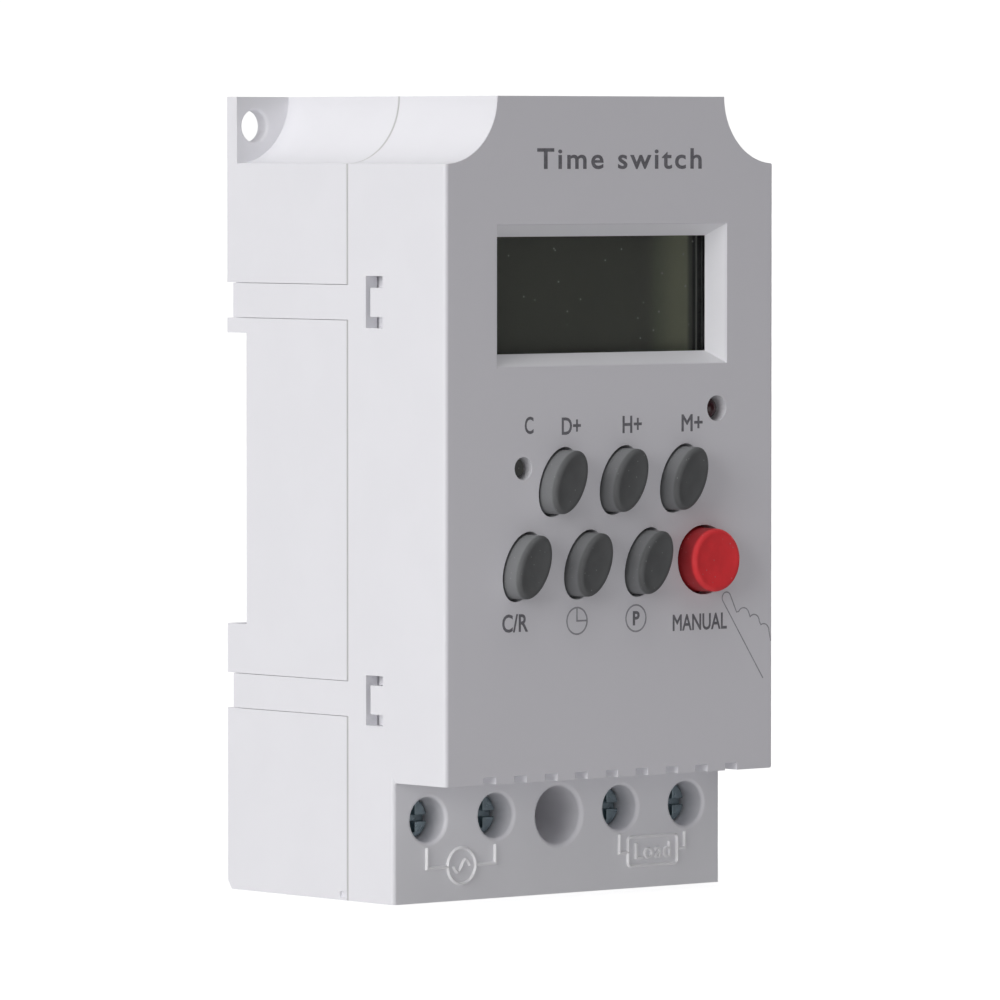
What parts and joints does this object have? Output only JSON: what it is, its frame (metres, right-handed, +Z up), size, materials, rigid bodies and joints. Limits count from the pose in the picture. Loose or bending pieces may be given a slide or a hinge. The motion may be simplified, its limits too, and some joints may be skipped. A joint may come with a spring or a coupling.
{
  "type": "din rail timer",
  "caption": "Digital time switch module that clips to a 35 mm DIN rail or screws to a wall, with a display, push buttons and screw terminals under a stepped front.",
  "frame": {"origin": "middle of the bounding box on the flat bottom edge that the module stands on", "axes": "+Z up the housing, along the long side; front panel faces -Y and the rail channel +Y; +X to the right seen from the front"},
  "size_m": [0.053, 0.0446, 0.098],
  "materials": {
    "housing_plastic": "fine satin moulded ABS, white",
    "clip_plastic": "satin moulded acetal, white",
    "spring_steel": "drawn wire",
    "clear_window": "clear polished acrylic",
    "lcd_glass": "dark blank liquid crystal cell",
    "black_plastic": "black moulded plastic",
    "black_rubber": "black elastomer",
    "grey_silicone": "matt grey silicone rubber",
    "red_silicone": "matt red silicone rubber",
    "red_lens": "tinted lens, unlit",
    "zinc_steel": "blue zinc plated",
    "tinned_brass": "tin plated",
    "circuit_board": "green solder resist",
    "metal_can": "tinned steel can",
    "battery_sleeve": "green shrink sleeve",
    "film_case": "yellow film capacitor case",
    "capacitor_sleeve": "dark blue shrink sleeve",
    "blue_epoxy": "blue epoxy coat",
    "resistor_body": "sand coloured lacquer"
  },
  "bodies": {
    "root": {"rear_housing": "housing_plastic", "front_housing": "housing_plastic", "din_clip_spring": "spring_steel", "lcd_window": "clear_window", "lcd_panel": "lcd_glass", "lcd_frame": "black_plastic", "lcd_zebra_strip": "black_rubber", "keypad_mat": "grey_silicone", "led_lamp": "red_lens", "terminal_bar_1": "tinned_brass", "display_board_screw_1": "zinc_steel", "power_board_screw_1": "zinc_steel", "terminal_bar_2": "tinned_brass", "display_board_screw_2": "zinc_steel", "power_board_screw_2": "zinc_steel", "terminal_bar_3": "tinned_brass", "display_board_screw_3": "zinc_steel", "power_board_screw_3": "zinc_steel", "terminal_bar_4": "tinned_brass", "display_board_screw_4": "zinc_steel", "power_board_screw_4": "zinc_steel", "display_board": "circuit_board", "power_board": "circuit_board", "controller_chip": "black_plastic", "crystal": "metal_can", "board_header": "black_plastic", "backup_battery": "battery_sleeve", "relay": "black_plastic", "dropper_capacitor": "film_case", "smoothing_capacitor": "capacitor_sleeve", "varistor": "blue_epoxy", "bridge_rectifier": "black_plastic", "fusible_resistor": "resistor_body"},
    "day_button_body": {"day_button": "grey_silicone"},
    "hour_button_body": {"hour_button": "grey_silicone"},
    "minute_button_body": {"minute_button": "grey_silicone"},
    "cancel_recall_button_body": {"cancel_recall_button": "grey_silicone"},
    "clock_button_body": {"clock_button": "grey_silicone"},
    "program_button_body": {"program_button": "grey_silicone"},
    "manual_button_body": {"manual_button": "red_silicone"},
    "reset_body": {"reset_button": "grey_silicone"},
    "clip_body": {"din_clip": "clip_plastic"},
    "screw_1_body": {"terminal_screw_1": "zinc_steel"},
    "cage_1_body": {"terminal_cage_1": "zinc_steel"},
    "screw_2_body": {"terminal_screw_2": "zinc_steel"},
    "cage_2_body": {"terminal_cage_2": "zinc_steel"},
    "screw_3_body": {"terminal_screw_3": "zinc_steel"},
    "cage_3_body": {"terminal_cage_3": "zinc_steel"},
    "screw_4_body": {"terminal_screw_4": "zinc_steel"},
    "cage_4_body": {"terminal_cage_4": "zinc_steel"}
  },
  "joints": [
    {"name": "day_press", "type": "slide", "parent": "root", "child": "day_button_body", "axis": [0, 1, 0], "range_m": [0, 0.0012], "stiffness_N_per_m": 900},
    {"name": "hour_press", "type": "slide", "parent": "root", "child": "hour_button_body", "axis": [0, 1, 0], "range_m": [0, 0.0012], "stiffness_N_per_m": 900},
    {"name": "minute_press", "type": "slide", "parent": "root", "child": "minute_button_body", "axis": [0, 1, 0], "range_m": [0, 0.0012], "stiffness_N_per_m": 900},
    {"name": "cancel_recall_press", "type": "slide", "parent": "root", "child": "cancel_recall_button_body", "axis": [0, 1, 0], "range_m": [0, 0.0012], "stiffness_N_per_m": 900},
    {"name": "clock_press", "type": "slide", "parent": "root", "child": "clock_button_body", "axis": [0, 1, 0], "range_m": [0, 0.0012], "stiffness_N_per_m": 900},
    {"name": "program_press", "type": "slide", "parent": "root", "child": "program_button_body", "axis": [0, 1, 0], "range_m": [0, 0.0012], "stiffness_N_per_m": 900},
    {"name": "manual_press", "type": "slide", "parent": "root", "child": "manual_button_body", "axis": [0, 1, 0], "range_m": [0, 0.0012], "stiffness_N_per_m": 900},
    {"name": "reset_press", "type": "slide", "parent": "root", "child": "reset_body", "axis": [0, 1, 0], "range_m": [0, 0.0008], "stiffness_N_per_m": 900},
    {"name": "clip_pull", "type": "slide", "parent": "root", "child": "clip_body", "axis": [0, 0, -1], "range_m": [0, 0.0032], "stiffness_N_per_m": 1200, "springref_m": -0.0015, "deforming": ["din_clip_spring"]},
    {"name": "screw_1_turn", "type": "hinge", "parent": "root", "child": "screw_1_body", "pos_m": [-0.0209, -0.0067, 0.0101], "axis": [0, 1, 0], "range_deg": [0, 1770]},
    {"name": "cage_1_rise", "type": "slide", "parent": "root", "child": "cage_1_body", "axis": [0, -1, 0], "range_m": [0, 0.00295]},
    {"name": "screw_2_turn", "type": "hinge", "parent": "root", "child": "screw_2_body", "pos_m": [-0.01007, -0.0067, 0.0101], "axis": [0, 1, 0], "range_deg": [0, 1770]},
    {"name": "cage_2_rise", "type": "slide", "parent": "root", "child": "cage_2_body", "axis": [0, -1, 0], "range_m": [0, 0.00295]},
    {"name": "screw_3_turn", "type": "hinge", "parent": "root", "child": "screw_3_body", "pos_m": [0.01007, -0.0067, 0.0101], "axis": [0, 1, 0], "range_deg": [0, 1770]},
    {"name": "cage_3_rise", "type": "slide", "parent": "root", "child": "cage_3_body", "axis": [0, -1, 0], "range_m": [0, 0.00295]},
    {"name": "screw_4_turn", "type": "hinge", "parent": "root", "child": "screw_4_body", "pos_m": [0.0209, -0.0067, 0.0101], "axis": [0, 1, 0], "range_deg": [0, 1770]},
    {"name": "cage_4_rise", "type": "slide", "parent": "root", "child": "cage_4_body", "axis": [0, -1, 0], "range_m": [0, 0.00295]}
  ],
  "couplings": [
    {"joint": "screw_1_turn", "follows": "cage_1_rise", "rad_per_m": 10472},
    {"joint": "screw_2_turn", "follows": "cage_2_rise", "rad_per_m": 10472},
    {"joint": "screw_3_turn", "follows": "cage_3_rise", "rad_per_m": 10472},
    {"joint": "screw_4_turn", "follows": "cage_4_rise", "rad_per_m": 10472}
  ]
}
